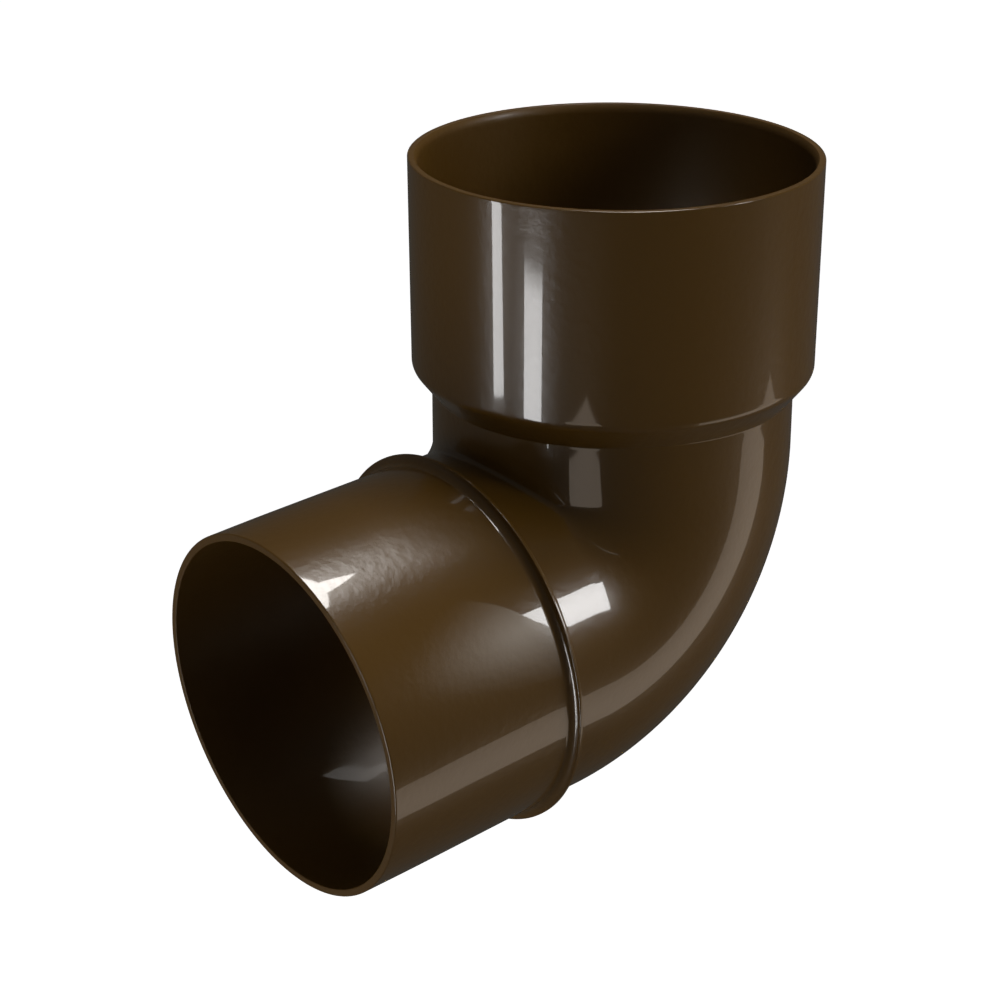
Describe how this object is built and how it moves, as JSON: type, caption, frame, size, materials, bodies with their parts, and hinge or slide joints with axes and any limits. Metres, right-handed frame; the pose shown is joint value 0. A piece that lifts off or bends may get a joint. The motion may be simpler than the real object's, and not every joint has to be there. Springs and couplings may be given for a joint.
{
  "type": "pipe elbow",
  "caption": "Short-radius PVC pipe elbow that turns 85 degrees, with a wide socket at one end and a plain spigot with a stop ring at the other.",
  "frame": {"origin": "on the socket's axis, in the plane where the straight bore ends and the seat for the pipe's end begins", "axes": "+Z along the socket's axis, out of its mouth; the spigot leaves towards -Y, 5 degrees below level; the plane X = 0 halves the elbow"},
  "size_m": [0.1102, 0.172, 0.18],
  "materials": {
    "pvc": "dark brown, moulded and very glossy"
  },
  "bodies": {
    "root": {"elbow": "pvc"}
  },
  "joints": []
}
